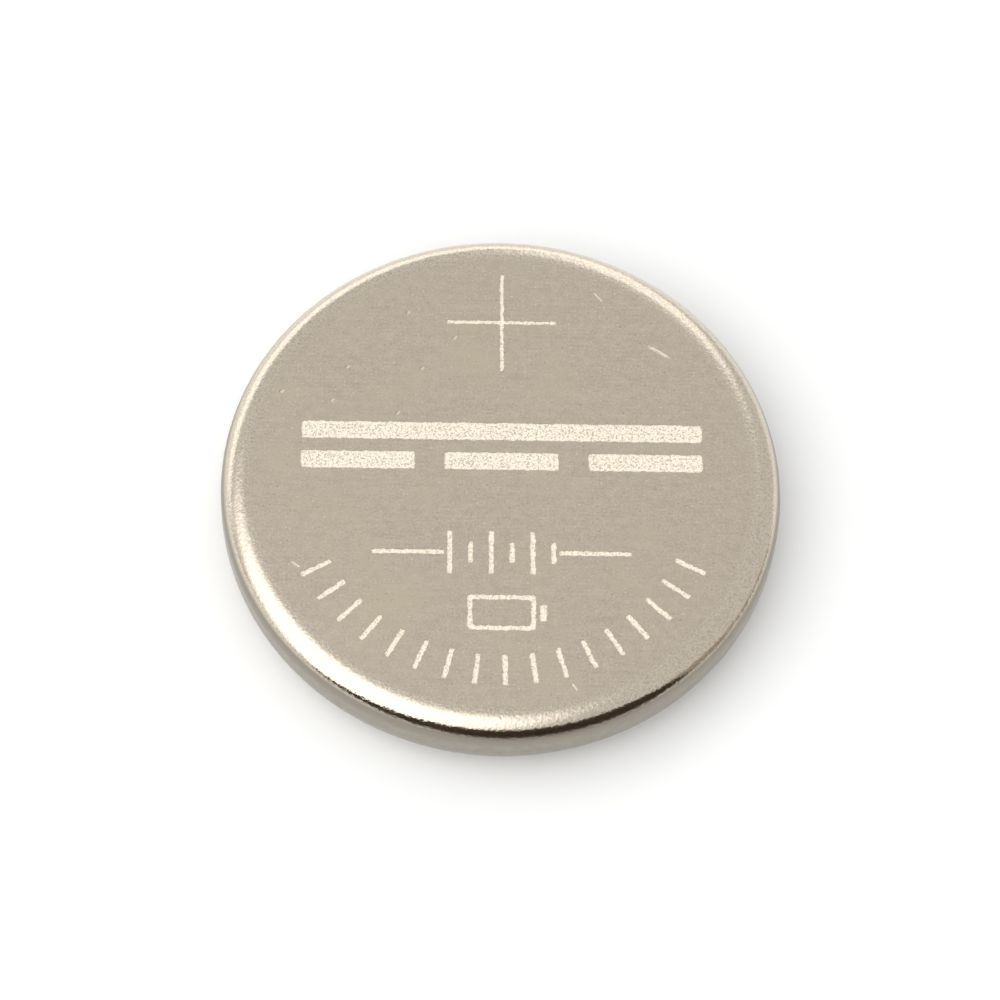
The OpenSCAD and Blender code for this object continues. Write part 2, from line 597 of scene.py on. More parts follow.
# Smooth white paper, with next to no grain, for the floor.
WHITE_PAPER = PlainSolid("paper_white_matt", "#EEEEED", "#EDEDEC", 1.0, 4.0, 0.0)
# Flocked card takes up nearly all the light that falls on it.
BROWN_CARD = PlainSolid("card_brown_flocked", "#3A2C20", "#32271D", 0.95, 1.0, 0.1)
# Bare grey card, for a reflection half as bright as the sky's.
GREY_CARD = PlainSolid("card_grey", "#ABA39A", "#A19990", 0.95, 1.0, 0.1)


# Turned shapes


@dataclass(frozen=True)
class Bend:
    """A straight run along a section, then a turn, in millimetres and degrees.

    A left turn is positive. With no radius the turn is a sharp corner.
    """

    run: float
    turn: float = 0.0
    radius: float = 0.0

    def steps(self, chord: float) -> int:
        """Gives the number of straights of one chord each in the turn."""
        arc = radians(abs(self.turn)) * self.radius
        return max(FEWEST_STEPS, round(arc / chord))


@dataclass
class Section:
    """A half section of a turned piece, walked from its first point along a list of bends.

    Attributes:
        start: Radius and height of the first point.
        heading: The direction of the first run, in degrees from outwards, turning up.
        bends: The bends in order.
        closed: Whether a straight edge joins the last point to the first.
        chord: Length of the straights that make up a turn.
        margin: Length of the short pieces at the ends of a long run, which keep the shading
            of the turns beside it out of its flat.
    """

    start: Pair
    heading: float
    bends: list[Bend]
    closed: bool = False
    chord: float = 0.035
    margin: float = 0.06

    def end(self) -> Pair:
        """Gives the radius and height of the last point."""
        place = Vector(self.start)
        heading = radians(self.heading)
        for bend in self.bends:
            place += Vector((cos(heading), sin(heading))) * bend.run
            side = copysign(bend.radius, bend.turn)
            place += Vector((-sin(heading), cos(heading))) * side
            heading += radians(bend.turn)
            place -= Vector((-sin(heading), cos(heading))) * side
        return place.x, place.y

    def pieces(self, run: float) -> Iterator[float]:
        """Splits a run into its end pieces and what lies between them."""
        if run > 3 * self.margin:
            yield from (self.margin, run - 2 * self.margin, self.margin)
        elif run > 0:
            yield run

    def draw(self, bm: BMesh) -> None:
        """Draws the section in the XZ plane of an empty mesh.

        Args:
            bm: The mesh that the section goes into.
        """
        heading = radians(self.heading)
        first = bmesh.ops.create_vert(bm, co=(self.start[0], 0.0, self.start[1]))["vert"][0]
        tip = first
        for bend in self.bends:
            ahead = Vector((cos(heading), 0.0, sin(heading)))
            left = Vector((-sin(heading), 0.0, cos(heading)))
            for piece in self.pieces(bend.run):
                tip = bmesh.ops.extrude_vert_indiv(bm, verts=[tip])["verts"][0]
                bmesh.ops.translate(bm, verts=[tip], vec=ahead * piece)
            if bend.radius:
                turned = bmesh.ops.spin(
                    bm,
                    geom=[tip],
                    cent=tip.co + left * copysign(bend.radius, bend.turn),
                    axis=(0.0, -1.0, 0.0),
                    angle=radians(bend.turn),
                    steps=bend.steps(self.chord),
                )
                tip = next(v for v in turned["geom_last"] if isinstance(v, BMVert))
            heading += radians(bend.turn)
        if self.closed:
            bmesh.ops.contextual_create(bm, geom=[tip, first])

    def turn_round(self, steps: int) -> BMesh:
        """Turns the section about the Z axis.

        Args:
            steps: The number of facets in a full turn.

        Returns:
            The turned surface, with its doubles merged.
        """
        bm = bmesh.new()
        self.draw(bm)
        bmesh.ops.spin(
            bm,
            geom=[*bm.verts, *bm.edges],
            axis=(0.0, 0.0, 1.0),
            angle=tau,
            steps=steps,
            use_merge=True,
        )
        bmesh.ops.remove_doubles(bm, verts=bm.verts, dist=WELD)
        return bm


def join(bm: BMesh, other: BMesh) -> None:
    """Joins another shape to this one where their edges meet, and frees the other."""
    carrier = bpy.data.meshes.new("carrier")
    other.to_mesh(carrier)
    other.free()
    bm.from_mesh(carrier)
    bpy.data.meshes.remove(carrier)
    bmesh.ops.remove_doubles(bm, verts=bm.verts, dist=WELD)


@dataclass(frozen=True)
class Sheet:
    """A bent sheet: one face as a bend list, and the other face one thickness to its side.

    Attributes:
        thickness: The sheet's thickness.
        side: Where the other face lies, 1 for left of the walk and -1 for right.
        edge_r: The radius that round tooling leaves on the sheared edge.
    """

    thickness: float
    side: int
    edge_r: float = 0.03

    def walk(self, bends: Sequence[Bend]) -> list[Bend]:
        """Gives the bends along one face, round the sheared edge and back along the other.

        Args:
            bends: The bends of the first face, ending in a run up to the edge.

        Returns:
            The bends of the whole walk.
        """
        out = [*bends[:-1], Bend(bends[-1].run - self.edge_r)]
        quarter = 90.0 * self.side
        across = self.thickness - 2 * self.edge_r
        edge = [Bend(0.0, quarter, self.edge_r), Bend(across, quarter, self.edge_r)]
        back = []
        for bend in reversed(out):
            if bend.turn:
                radius = bend.radius - self.side * copysign(self.thickness, bend.turn)
                back.append(Bend(0.0, -bend.turn, radius))
            back.append(Bend(bend.run))
        return [*out, *edge, *back]


def add_object(bm: BMesh, name: str, finishes: Sequence[Finish]) -> Object:
    """Turns a shape into an object of the scene.

    Args:
        bm: The finished shape in metres, which is freed.
        name: The object's name.
        finishes: Its finishes, in the order of its material slots.

    Returns:
        The new object.
    """
    mesh = bpy.data.meshes.new(name)
    bm.to_mesh(mesh)
    bm.free()
    for finish in finishes:
        mesh.materials.append(finish.build())
    item = bpy.data.objects.new(name, mesh)
    bpy.context.scene.collection.objects.link(item)
    return item


def make_piece(bm: BMesh, name: str, finishes: Sequence[Finish], node: str, slot: str) -> None:
    """Turns a shape in millimetres into a piece that stands for a packed one.

    Args:
        bm: The finished shape, which is freed.
        name: The piece's name.
        finishes: Its finishes, in the order of its material slots.
        node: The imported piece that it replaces.
        slot: The material slot of the record that it takes its finish from.
    """
    bmesh.ops.recalc_face_normals(bm, faces=bm.faces)
    bmesh.ops.scale(bm, vec=(MM, MM, MM), verts=bm.verts)
    for face in bm.faces:
        face.smooth = True
    for edge in bm.edges:
        edge.smooth = edge.smooth and edge.calc_face_angle(pi) < radians(CREASE)
    piece = add_object(bm, name, finishes)
    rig.ride(piece, BODY)
    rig.replaces(piece, node)
    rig.slot(piece, slot)
    triangles = sum(len(face.vertices) - 2 for face in piece.data.polygons)
    log.info("%s: %d triangles", name, triangles)


# Marks and wear on the positive face


class Ground(Enum):
    """What a recess has on its floor, as a material slot of the can."""

    ETCHED_LINE = 1
    ETCHED_FIELD = 2
    BARE_STEEL = 3


@dataclass(frozen=True, kw_only=True)
class Recess:
    """A shallow shape cut into the positive face, in millimetres from the face's centre.

    Attributes:
        x: How far right its middle is.
        y: How far up its middle is, towards the plus.
        turn: How far it is turned, in degrees.
        depth: How deep it is.
        draft: How much smaller its floor is than its mouth, as a share.
        ground: What lies on its floor.
        fray: How far its outline strays to each side, as an etched edge does.
    """

    x: float
    y: float
    turn: float = 0.0
    depth: float = 0.02
    draft: float = 0.0
    ground: Ground = Ground.ETCHED_LINE
    fray: float = 0.026

    def trace(self, bm: BMesh) -> tuple[list[BMEdge], list[BMEdge]]:
        """Draws the shape flat round the origin.

        Args:
            bm: The mesh that the shape goes into.

        Returns:
            The edges of its outline, and those of the island inside it, if it has one.
        """
        raise NotImplementedError

    def trace_field(self, bm: BMesh) -> list[BMEdge]:
        """Draws the outline of the flecked field on its floor, if it has one."""
        return []

    def cut(self, top: float) -> BMesh:
        """Makes the recess: its walls, its floor and the top of its island.

        Args:
            top: The height of the face.

        Returns:
            The recess, open at its mouth, where the face still has to be joined to it.
        """
        bm = bmesh.new()
        mouth, island = (self.roughen(bm, edges) for edges in self.trace(bm))
        field = self.roughen(bm, self.trace_field(bm))
        edges = [*mouth, *island]
        sunk = bmesh.ops.extrude_edge_only(bm, edges=edges)["geom"]
        low = [v for v in sunk if isinstance(v, BMVert)]
        floor_edges = [e for e in sunk if isinstance(e, BMEdge)]
        shrink = 1 - self.draft
        bmesh.ops.scale(bm, vec=(shrink, shrink, 1.0), verts=low)
        low += ends_of(field)
        bmesh.ops.translate(bm, vec=(0.0, 0.0, -self.depth), verts=low)
        for face in fill(bm, [*floor_edges, *field]):
            face.material_index = self.ground.value
        for face in fill(bm, field):
            face.material_index = Ground.ETCHED_FIELD.value
        fill(bm, island)
        for edge in edges:
            edge.smooth = False
        place = Matrix.Translation((self.x, self.y, top))
        place = place @ Matrix.Rotation(radians(self.turn), 4, "Z")
        bmesh.ops.transform(bm, matrix=place, verts=bm.verts)
        return bm

    def roughen(self, bm: BMesh, edges: list[BMEdge]) -> list[BMEdge]:
        """Splits an outline into short straights whose ends stray a little.

        Args:
            bm: The mesh that the outline is in.
            edges: The edges of the outline.

        Returns:
            The edges of the rough outline.
        """
        if not self.fray:
            return edges
        parts = []
        for edge in edges:
            cuts = int(edge.calc_length() / FRAY_STEP)
            split = bmesh.ops.subdivide_edges(bm, edges=[edge], cuts=cuts)["geom_split"]
            parts += [g for g in split if isinstance(g, BMEdge)] if cuts else [edge]
        seed = Vector((self.x, self.y, 0.0))
        for vert in ends_of(parts):
            place = (vert.co + seed) / FRAY_GRAIN
            stray = [noise.noise(place + layer) for layer in FRAY_LAYERS]
            vert.co += Vector((*stray, 0.0)) * self.fray
        return parts


def ends_of(edges: list[BMEdge]) -> list[BMVert]:
    """Gives the ends of some edges, each once and in a fixed order."""
    return list(dict.fromkeys(v for edge in edges for v in edge.verts))


def fill(bm: BMesh, edges: list[BMEdge]) -> list[BMFace]:
    """Fills the area between flat outlines, if there are any, and gives its faces."""
    if not edges:
        return []
    filled = bmesh.ops.triangle_fill(
        bm, edges=edges, use_beauty=True, use_dissolve=False, normal=(0.0, 0.0, 1.0)
    )
    return [g for g in filled["geom"] if isinstance(g, BMFace)]


def outline_of(bm: BMesh, face: BMFace) -> list[BMEdge]:
    """Takes a face away and gives the edges that it had."""
    edges = list(face.edges)
    bmesh.ops.delete(bm, geom=[face], context="FACES_ONLY")
    return edges


def plate(bm: BMesh, length: float, width: float, corner: float) -> list[BMEdge]:
    """Draws a rectangle with rounded corners and gives its edges.

    Args:
        bm: The mesh that it goes into.
        length: Its size along X.
        width: Its size along Y.
        corner: The radius of its corners.

    Returns:
        The edges of its outline.
    """
    verts = bmesh.ops.create_grid(bm, x_segments=1, y_segments=1, size=0.5)["verts"]
    bmesh.ops.scale(bm, vec=(length, width, 1.0), verts=verts)
    rounded = bmesh.ops.bevel(
        bm,
        geom=verts,
        affect="VERTICES",
        offset=corner,
        segments=CORNER_STEPS,
        profile=0.5,
        material=-1,
    )["verts"]
    return outline_of(bm, rounded[0].link_faces[0])


@dataclass(frozen=True, kw_only=True)
class Bar(Recess):
    """A straight stroke, which may have a flecked field inside a solid border."""

    length: float
    width: float
    corner: float = 0.03
    border: float = 0.0

    def trace(self, bm: BMesh) -> tuple[list[BMEdge], list[BMEdge]]:
        """Draws the stroke's outline, which has no island."""
        return plate(bm, self.length, self.width, self.corner), []

    def trace_field(self, bm: BMesh) -> list[BMEdge]:
        """Draws the field's outline one border inside the stroke's."""
        if not self.border:
            return []
        size = (self.length - 2 * self.border, self.width - 2 * self.border)
        return plate(bm, *size, self.corner / 2)


@dataclass(frozen=True, kw_only=True)
class Box(Recess):
    """A rectangle drawn with a stroke, which leaves an island inside."""

    length: float
    width: float
    stroke: float
    corner: float = 0.08

    def trace(self, bm: BMesh) -> tuple[list[BMEdge], list[BMEdge]]:
        """Draws the stroke's outer and inner outlines."""
        outer = plate(bm, self.length, self.width, self.corner)
        hole = (self.length - 2 * self.stroke, self.width - 2 * self.stroke)
        return outer, plate(bm, *hole, self.corner / 2)


@dataclass(frozen=True, kw_only=True)
class Plus(Recess):
    """Two equal strokes that cross in the middle."""

    length: float
    width: float

    def trace(self, bm: BMesh) -> tuple[list[BMEdge], list[BMEdge]]:
        """Draws a square, pulls an arm out of each of its sides and joins them."""
        grid = bmesh.ops.create_grid(bm, x_segments=1, y_segments=1, size=self.width / 2)
        square = grid["verts"][0].link_faces[0]
        faces = [square]
        reach = (self.length - self.width) / 2
        for side in list(square.edges):
            middle = (side.verts[0].co + side.verts[1].co) / 2
            arm = bmesh.ops.extrude_edge_only(bm, edges=[side])["geom"]
            tips = [v for v in arm if isinstance(v, BMVert)]
            bmesh.ops.translate(bm, vec=middle.normalized() * reach, verts=tips)
            faces += [g for g in arm if isinstance(g, BMFace)]
        joined = bmesh.ops.dissolve_faces(bm, faces=faces)["region"]
        return outline_of(bm, joined[0]), []


@dataclass(frozen=True, kw_only=True)
class Spot(Recess):
    """A round or drawn-out spot, such as a pit, or a scratch that thins to its ends."""

    length: float
    width: float
    sides: int = 20
    draft: float = 0.35
    ground: Ground = Ground.BARE_STEEL
    fray: float = 0.0

    def trace(self, bm: BMesh) -> tuple[list[BMEdge], list[BMEdge]]:
        """Draws a circle and stretches it."""
        verts = bmesh.ops.create_circle(bm, segments=self.sides, radius=0.5)["verts"]
        bmesh.ops.scale(bm, vec=(self.length, self.width, 1.0), verts=verts)
        return list(bm.edges), []


def scratch(start: Pair, end: Pair, width: float, depth: float) -> Spot:
    """Makes a scratch between two points of the face.

    Args:
        start: The point where it starts.
        end: The point where it ends.
        width: Its width in the middle.
        depth: Its depth.

    Returns:
        The scratch.
    """
    middle = (Vector(start) + Vector(end)) / 2
    along = Vector(end) - Vector(start)
    turn = degrees(atan2(along.y, along.x))
    size = {"length": along.length, "width": width, "depth": depth}
    return Spot(x=middle.x, y=middle.y, turn=turn, **size)


@dataclass(frozen=True)
class FaceMarks:
    """The etched marks of the positive face, and the wear on it.

    The plus shows the polarity. The other marks are plain engineering symbols and a scale, in
    places where such cells carry print: the symbol of direct current, the circuit symbol of
    cells in a row, a battery's outline, and a rim scale. Sizes and places are in millimetres,
    and a place is measured from the face's centre.
    """

    plus_y: float = 3.95
    plus_size: float = 2.48
    hairline: float = 0.09
    stroke: float = 0.12
    current_y: float = 0.80
    current_length: float = 8.96
    current_pitch: float = 0.74
    current_stroke: float = 0.44
    current_corner: float = 0.06
    dash_gap: float = 0.66
    circuit_y: float = -1.83
    circuit_length: float = 5.74
    plate_count: int = 6
    plate_pitch: float = 0.46
    plate_lengths: Pair = (1.06, 0.52)
    outline_y: float = -3.29
    outline_size: Pair = (1.52, 0.86)
    terminal_size: Pair = (0.16, 0.40)
    scale_r: float = 4.675
    tick_length: float = 0.74
    tick_count: int = 17
    tick_span: Pair = (209.0, 333.0)
    border: float = 0.07
    scratches: tuple[tuple[Pair, Pair, float], ...] = (
        ((3.24, 3.42), (3.84, 3.05), 0.08),
        ((2.07, 4.75), (2.30, 4.49), 0.05),
        ((-4.66, -2.11), (-4.43, -2.28), 0.06),
        ((1.52, -4.97), (1.66, -5.17), 0.06),
    )
    scratch_depth: float = 0.008
    pits: tuple[Pair, ...] = (
        (-3.46, 2.75),
        (-2.12, 4.16),
        (-1.06, 3.53),
        (-1.79, 2.73),
        (-4.93, 2.11),
        (-2.32, 1.60),
        (-3.80, 1.90),
    )
    pit_size: Pair = (0.12, 0.10)
    pit_sides: int = 12

    def plus(self) -> Iterator[Recess]:
        """Gives the sign of the positive face."""
        yield Plus(x=0.0, y=self.plus_y, length=self.plus_size, width=self.hairline)

    def direct_current(self) -> Iterator[Recess]:
        """Gives a solid bar over three dashes, with flecked floors."""
        stroke = {
            "width": self.current_stroke,
            "border": self.border,
            "corner": self.current_corner,
        }
        rise = self.current_pitch / 2
        yield Bar(x=0.0, y=self.current_y + rise, length=self.current_length, **stroke)
        dash = (self.current_length - 2 * self.dash_gap) / 3
        for place in (-1, 0, 1):
            x = place * (dash + self.dash_gap)
            yield Bar(x=x, y=self.current_y - rise, length=dash, **stroke)

    def cells_in_a_row(self) -> Iterator[Recess]:
        """Gives long and short plates by turns, with a lead at each end."""
        stroke = {"y": self.circuit_y, "width": self.stroke}
        first = -self.plate_pitch * (self.plate_count - 1) / 2
        for i in range(self.plate_count):
            x = first + i * self.plate_pitch
            yield Bar(x=x, turn=90.0, length=self.plate_lengths[i % 2], **stroke)
        lead_start = self.stroke - first
        lead = self.circuit_length / 2 - lead_start
        for side in (-1, 1):
            yield Bar(x=side * (lead_start + lead / 2), length=lead, **stroke)

    def battery_outline(self) -> Iterator[Recess]:
        """Gives a box with a terminal at its right end."""
        length, width = self.outline_size
        yield Box(x=0.0, y=self.outline_y, length=length, width=width, stroke=self.stroke)
        thick, tall = self.terminal_size
        yield Bar(x=length / 2 + thick, y=self.outline_y, length=thick, width=tall)

    def rim_scale(self) -> Iterator[Recess]:
        """Gives the ticks along the lower rim."""
        start, end = self.tick_span
        for i in range(self.tick_count):
            angle = start + (end - start) * i / (self.tick_count - 1)
            x = self.scale_r * cos(radians(angle))
            y = self.scale_r * sin(radians(angle))
            yield Bar(x=x, y=y, turn=angle, length=self.tick_length, width=self.stroke)

    def wear(self) -> Iterator[Recess]:
        """Gives the scratches and pits that handling has left."""
        for begin, end, width in self.scratches:
            yield scratch(begin, end, width, self.scratch_depth)
        length, width = self.pit_size
        for x, y in self.pits:
            yield Spot(x=x, y=y, length=length, width=width, sides=self.pit_sides)

    def __iter__(self) -> Iterator[Recess]:
        """Goes through all marks and all wear."""
        yield from self.plus()
        yield from self.direct_current()
        yield from self.cells_in_a_row()
        yield from self.battery_outline()
        yield from self.rim_scale()
        yield from self.wear()

    def cut_face(self, radius: float, top: float, facets: int) -> BMesh:
        """Makes the flat of the positive face with everything cut into it.

        Args:
            radius: The radius of the flat.
            top: Its height.
            facets: The number of straights round it.

        Returns:
            The face, open round its rim.
        """
        bm = bmesh.new()
        bmesh.ops.create_circle(
            bm, segments=facets, radius=radius, matrix=Matrix.Translation((0.0, 0.0, top))
        )
        for mark in self:
            join(bm, mark.cut(top))
        fill(bm, [edge for edge in bm.edges if len(edge.link_faces) < 2])
        return bm


# The cell


def box_mm(node: str) -> tuple[Vector, Vector]:
    """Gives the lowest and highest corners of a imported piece, in millimetres."""
    low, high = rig.box(node)
    return low / MM, high / MM


@dataclass(frozen=True)
class Seal:
    """Sizes that the can, the gasket and the cap share, in millimetres.

    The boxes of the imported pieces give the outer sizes, and the bends are the sheet's own.
    """

    cell_r: float
    top: float
    mouth_z: float
    floor_z: float
    skirt_r: float
    foot_z: float
    corner_r: float = 0.60
    crimp_r: float = 0.95
    crimp_turn: float = 102.0
    lip_run: float = 0.10
    facets: int = 256

    @classmethod
    def from_frame(cls) -> "Seal":
        """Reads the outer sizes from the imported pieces."""
        can_low, can_high = box_mm("positive_can")
        gasket_high = box_mm("sealing_gasket")[1]
        cap_high = box_mm("negative_cap")[1]
        return cls(
            cell_r=can_high.x,
            top=can_high.z,
            mouth_z=can_low.z,
            floor_z=gasket_high.z,
            skirt_r=cap_high.x,
            foot_z=cap_high.z,
        )

    @property
    def sheet(self) -> float:
        """Thickness of the can's sheet, and of the cap's."""
        return self.top - self.floor_z

    @property
    def gasket(self) -> float:
        """Thickness of the gasket between the two sheets."""
        return self.cell_r - self.sheet - self.skirt_r

    @property
    def roll_z(self) -> float:
        """Height at which the mouth's roll starts."""
        return self.mouth_z + self.crimp_r

    @property
    def ledge_z(self) -> float:
        """Height of the cap's ledge, under the gasket and the can's lip."""
        return self.mouth_z + self.sheet + self.gasket

    @property
    def shoulder_r(self) -> float:
        """Radius of the cap's shoulder."""
        return self.crimp_r - self.sheet - self.gasket

    @property
    def wall(self) -> float:
        """Height of the can's upright wall."""
        return self.top - self.corner_r - self.roll_z


@dataclass(frozen=True)
class PositiveCan:
    """The drawn can, with its marked face on top and its mouth rolled in.

    The face eases down before it meets the corner, so the corner is a little tighter than
    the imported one. Sizes are in millimetres and degrees.
    """

    seal: Seal
    marks: FaceMarks
    face_edge: float = 0.05
    ease_turn: float = 4.0
    ease_r: float = 2.5
    corner_r: float = 0.56

    def build(self) -> None:
        """Builds the can, whose face eases into the corner, and dresses it."""
        seal = self.seal
        eased = radians(self.ease_turn)
        corner_reach = self.ease_r * sin(eased) + self.corner_r * (1 - sin(eased))
        corner_drop = self.ease_r * (1 - cos(eased)) + self.corner_r * cos(eased)
        face_r = seal.cell_r - corner_reach
        outside = [
            Bend(self.face_edge, -self.ease_turn, self.ease_r),
            Bend(0.0, self.ease_turn - 90.0, self.corner_r),
            Bend(seal.top - corner_drop - seal.roll_z, -seal.crimp_turn, seal.crimp_r),
            Bend(seal.lip_run),
        ]
        bends = Sheet(seal.sheet, -1).walk(outside)
        # The inside runs on to the axis, while the face above it is joined on with its marks
        bends[-1] = Bend(face_r)
        section = Section((face_r - self.face_edge, seal.top), 0.0, bends)
        bm = section.turn_round(seal.facets)
        face = self.marks.cut_face(section.start[0], seal.top, seal.facets)
        join(bm, face)
        finishes = (CAN_STEEL, ETCHED_LINE, ETCHED_FIELD, BARE_STEEL)
        make_piece(bm, "can", finishes, "positive_can", "can_steel")


@dataclass(frozen=True)
class SealingGasket:
    """The moulded ring between the two sheets, which shows as a thin line inside the lip."""

    seal: Seal
    upstand_r: float = 5.40
    upstand_h: float = 0.26
    show: float = 0.08
    edge_r: float = 0.06

    def build(self) -> None:
        """Builds the gasket and dresses it."""
        seal = self.seal
        outside = [
            Bend(seal.cell_r - seal.corner_r - self.upstand_r, -90.0, seal.corner_r - seal.sheet),
            Bend(seal.wall, -seal.crimp_turn, seal.crimp_r - seal.sheet),
            Bend(seal.lip_run + self.show, seal.crimp_turn - 180.0, self.edge_r),
        ]
        section = Section((self.upstand_r, seal.floor_z), 0.0, outside, closed=True)
        seat_r, seat_z = section.end()
        groove_r = seal.skirt_r - seal.sheet
        section.bends += [
            Bend(seal.ledge_z - seat_z, -90.0),
            Bend(seal.skirt_r - seal.shoulder_r - seat_r, 90.0, seal.shoulder_r),
            Bend(seal.foot_z - seal.roll_z, 90.0),
            Bend(seal.sheet, 90.0),
            Bend(self.upstand_h, -90.0),
            Bend(groove_r - self.upstand_r, -90.0),
        ]
        bm = section.turn_round(seal.facets)
        make_piece(bm, "gasket", [GASKET_POLYMER], "sealing_gasket", "gasket_polymer")


@dataclass(frozen=True)
class NegativeCap:
    """The stepped cap: contact flat, step, ledge, shoulder and skirt."""

    seal: Seal
    contact_r: float = 4.30
    step_turn: float = 75.0
    step_edge_r: float = 0.30
    step_root_r: float = 0.10

    def build(self) -> None:
        """Builds the cap and dresses it."""
        seal = self.seal
        turn = radians(self.step_turn)
        radii = self.step_edge_r + self.step_root_r
        step_run = (seal.ledge_z - radii * (1 - cos(turn))) / sin(turn)
        step_reach = radii * sin(turn) + step_run * cos(turn)
        ledge = seal.skirt_r - seal.shoulder_r - self.contact_r - step_reach
        outside = [
            Bend(self.contact_r, self.step_turn, self.step_edge_r),
            Bend(step_run, -self.step_turn, self.step_root_r),
            Bend(ledge, 90.0, seal.shoulder_r),
            Bend(seal.foot_z - seal.roll_z),
        ]
        section = Section((0.0, 0.0), 0.0, Sheet(seal.sheet, 1).walk(outside))
        bm = section.turn_round(seal.facets)
        make_piece(bm, "cap", [CAP_STEEL], "negative_cap", "cap_steel")


@dataclass(frozen=True)
class Contents:
    """The pieces sealed inside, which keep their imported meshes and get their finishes."""

    finishes: Mapping[str, Finish]

    def dress(self) -> None:
        """Gives each piece its finish."""
        for node, finish in self.finishes.items():
            piece = frame["nodes"][node]
            piece.data.materials.clear()
            piece.data.materials.append(finish.build())
            log.info("%s: %s", node, finish.name)


# The studio


def towards(azimuth: float, elevation: float) -> Vector:
    """Gives the direction with an azimuth from +X towards +Y and an elevation, in degrees."""
    turn, rise = radians(azimuth), radians(elevation)
    level = cos(rise)
    return Vector((level * cos(turn), level * sin(turn), sin(rise)))


@dataclass(frozen=True)
class SoftBox:
    """A flat oval lamp that faces the cell and fades out towards its edge.

    Attributes:
        name: The lamp's name.
        azimuth: Where it stands, in degrees from +X towards +Y.
        elevation: How high it stands, in degrees.
        half_width: Half the angle that it fills from side to side, as the cell sees it.
        half_height: Half the angle that it fills from bottom to top.
        radiance: How bright its middle looks, where 1 is white.
        core: The share of its half size over which it keeps that brightness.
        distance: How far away it stands, in metres.
    """

    name: str
    azimuth: float
    elevation: float
    half_width: float
    half_height: float
    radiance: float
    core: float
    distance: float = 0.25

    def build(self) -> None:
        """Adds the lamp."""
        data = bpy.data.lights.new(self.name, "AREA")
        data.shape = "ELLIPSE"
        data.size = 2 * self.distance * tan(radians(self.half_width))
        data.size_y = 2 * self.distance * tan(radians(self.half_height))
        area = pi / 4 * data.size * data.size_y
        data.energy = self.radiance * pi * area
        self.soften(data)
        lamp = bpy.data.objects.new(self.name, data)
        outwards = towards(self.azimuth, self.elevation)
        lamp.matrix_world = (
            Matrix.Translation(outwards * self.distance)
            @ outwards.to_track_quat("Z", "Y").to_matrix().to_4x4()
        )
        bpy.context.scene.collection.objects.link(lamp)

    def soften(self, data: AreaLight) -> None:
        """Makes the lamp fade from its core to its edge."""
        data.use_nodes = True
        tree = data.node_tree
        tree.nodes.clear()
        place = add_node(tree, "ShaderNodeNewGeometry").outputs["Parametric"]
        pattern = Pattern(tree, place)
        reach = pattern.length("SUBTRACT", (0.5, 0.5, 0.0))
        fade = pattern.spread(reach, (0.5, 0.5 * self.core), curve="SMOOTHSTEP")
        glow = add_node(tree, "ShaderNodeEmission", inputs={"Strength": fade}).outputs[0]
        add_node(tree, "ShaderNodeOutputLight", inputs={"Surface": glow})


@dataclass(frozen=True)
class Flag:
    """A narrow card, curved round the cell, that gives its corner a darker line.

    Attributes:
        name: The card's name.
        finish: What it is covered with.
        stations: Points along the card from left to right, each as its azimuth in degrees and
            the heights of the lower and upper edge there in millimetres.
        distance: Its distance from the cell's axis, in millimetres.
        facets: The number of straights along it.
    """

    name: str
    finish: PlainSolid
    stations: tuple[tuple[float, float, float], ...]
    distance: float = 9.0
    facets: int = 96

    def heights(self, azimuth: float) -> Pair:
        """Gives the heights of the lower and upper edge at an azimuth."""
        left, right = next(pair for pair in pairwise(self.stations) if azimuth <= pair[1][0])
        share = (azimuth - left[0]) / (right[0] - left[0])
        _, low, high = Vector(left).lerp(Vector(right), share)
        return low, high

    def build(self) -> None:
        """Adds the card, which only reflections see, so that it shades neither cell nor floor."""
        start, end = self.stations[0][0], self.stations[-1][0]
        bm = bmesh.new()
        verts = bmesh.ops.create_grid(bm, x_segments=self.facets, y_segments=1, size=0.5)["verts"]
        for vert in verts:
            azimuth = min(end, start + (end - start) * (vert.co.x + 0.5))
            low, high = self.heights(azimuth)
            height = high if vert.co.y > 0 else low
            vert.co = towards(azimuth, 0.0) * self.distance + Vector((0.0, 0.0, height))
        bmesh.ops.scale(bm, vec=(MM, MM, MM), verts=bm.verts)
        card = add_object(bm, self.name, [self.finish])
        card.visible_camera = False
        card.visible_diffuse = False
        card.visible_shadow = False
        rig.stage(card)


# A large lamp at the front left, and two low ones that light the back of the rim
SOFT_BOXES = (
    SoftBox("key", 213.0, 49.0, 53.0, 54.0, radiance=1.5, core=0.3),
    SoftBox("back_right", 71.0, 30.0, 18.0, 30.0, radiance=0.8, core=0.4),
    SoftBox("back_left", 118.0, 10.0, 52.0, 22.0, radiance=0.9, core=0.5),
)
# The dark line along the front of the corner
FRONT_FLAG = Flag(
    "flag_front",
    BROWN_CARD,
    (
        (205.0, 1.80, 1.85),
        (222.0, 1.80, 2.00),
        (236.0, 1.75, 2.90),
        (253.0, 1.55, 3.60),
        (268.0, 1.20, 3.85),
        (300.0, 1.20, 3.80),
        (310.0, 1.35, 3.20),
        (318.0, 1.70, 2.00),
    ),
)
# The soft end of that line, on the right
RIGHT_FLAG = Flag(
    "flag_right",
    GREY_CARD,
    (
        (304.0, 1.30, 3.30),
        (314.0, 1.30, 3.30),
        (322.0, 1.30, 2.90),
        (332.0, 1.20, 2.10),
        (340.0, 1.15, 1.80),
        (352.0, 1.15, 1.70),
        (360.0, 1.30, 1.50),
    ),
    distance=9.4,
)


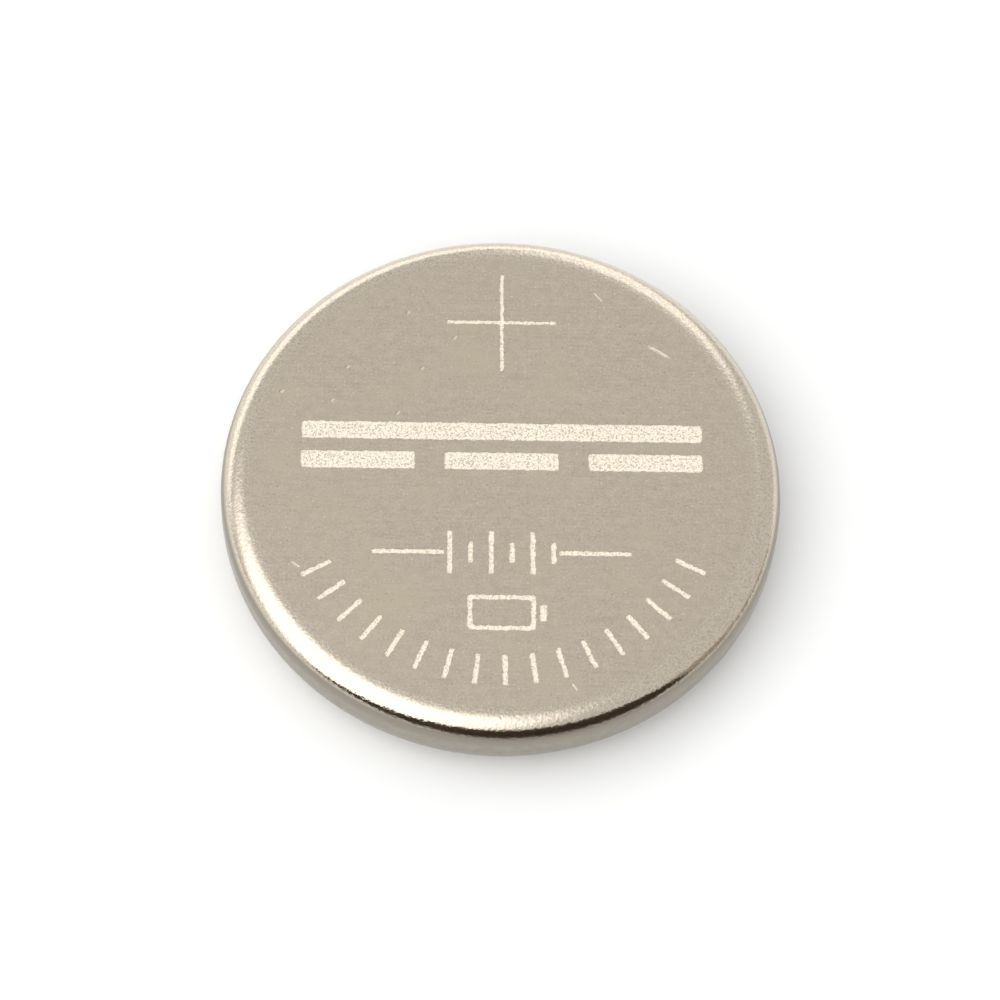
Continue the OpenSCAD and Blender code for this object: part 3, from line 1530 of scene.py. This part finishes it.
@dataclass(frozen=True)
class Studio:
    """The pale floor, the plain light and the camera at the photograph's angle.

    Attributes:
        floor_r: Radius of the floor, in metres.
        floor_facets: The number of straights round it.
        sky: How bright the light from all round is, where 1 is white.
        azimuth: How far round the camera stands, in degrees from looking along +Y.
        elevation: How high it stands, in degrees.
        roll: How far it is turned clockwise about its line of sight, in degrees.
        distance: How far it is from the cell, in millimetres.
        lens: Its focal length, in millimetres.
        frame_width: The width of its frame, in millimetres.
        nearest: How near it sees, in metres.
        aim: The height of the point that it looks at, in millimetres.
        offset: How far right and up of that point it is moved, in millimetres.
    """

    floor_r: float = 0.5
    floor_facets: int = 96
    sky: float = 0.8
    azimuth: float = -3.28
    elevation: float = 63.45
    roll: float = 3.72
    distance: float = 102.0
    lens: float = 163.7
    frame_width: float = 36.0
    nearest: float = 0.01
    aim: float = 1.0
    offset: Pair = (-0.0067, -0.038)

    def lay_floor(self) -> None:
        """Adds a round, matt, nearly white floor at the height that the cell rests on."""
        bm = bmesh.new()
        bmesh.ops.create_circle(
            bm, cap_ends=True, segments=self.floor_facets, radius=self.floor_r
        )
        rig.stage(add_object(bm, "floor", [WHITE_PAPER]))

    def light(self) -> None:
        """Sets the even light from all round, the soft boxes and the cards."""
        world = bpy.data.worlds.new("even_light")
        world.use_nodes = True
        background = world.node_tree.nodes["Background"]
        background.inputs["Color"].default_value = srgb("#FFFFFF")
        background.inputs["Strength"].default_value = self.sky
        bpy.context.scene.world = world
        for thing in (*SOFT_BOXES, FRONT_FLAG, RIGHT_FLAG):
            thing.build()

    def place_camera(self) -> None:
        """Adds the camera."""
        back = towards(self.azimuth - 90.0, self.elevation)
        right = towards(self.azimuth, 0.0)
        up = back.cross(right)
        tilt = radians(self.roll)
        across = cos(tilt) * right + sin(tilt) * up
        upward = cos(tilt) * up - sin(tilt) * right
        aim = Vector((0.0, 0.0, self.aim)) + across * self.offset[0] + upward * self.offset[1]
        spot = (aim + back * self.distance) * MM
        data = bpy.data.cameras.new("camera")
        data.sensor_width = self.frame_width
        data.lens = self.lens
        data.clip_start = self.nearest
        camera = bpy.data.objects.new("camera", data)
        axes = Matrix((across, upward, back)).transposed().to_4x4()
        camera.matrix_world = Matrix.Translation(spot) @ axes
        bpy.context.scene.collection.objects.link(camera)
        bpy.context.scene.camera = camera

    def build(self) -> None:
        """Sets up the whole studio."""
        self.place_camera()
        self.lay_floor()
        self.light()
        bpy.context.scene.view_settings.view_transform = "Standard"


def main() -> None:
    """Sets up the studio, builds the cell and writes both of its boxes."""
    logging.basicConfig(level=logging.INFO, format="%(message)s")
    Studio().build()
    seal = Seal.from_frame()
    PositiveCan(seal, FaceMarks()).build()
    SealingGasket(seal).build()
    NegativeCap(seal).build()
    Contents(
        {
            "lithium_disc": LITHIUM_FOIL,
            "separator": FELT,
            "cathode_pellet": OXIDE,
            "cathode_ring": RING_STEEL,
        }
    ).dress()
    boxes = {"cad": CAD_BOX, "visual": [list(corner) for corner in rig.bounds()]}
    SIZE_FILE.write_text(json.dumps(boxes))


if __name__ == "__main__":
    main()
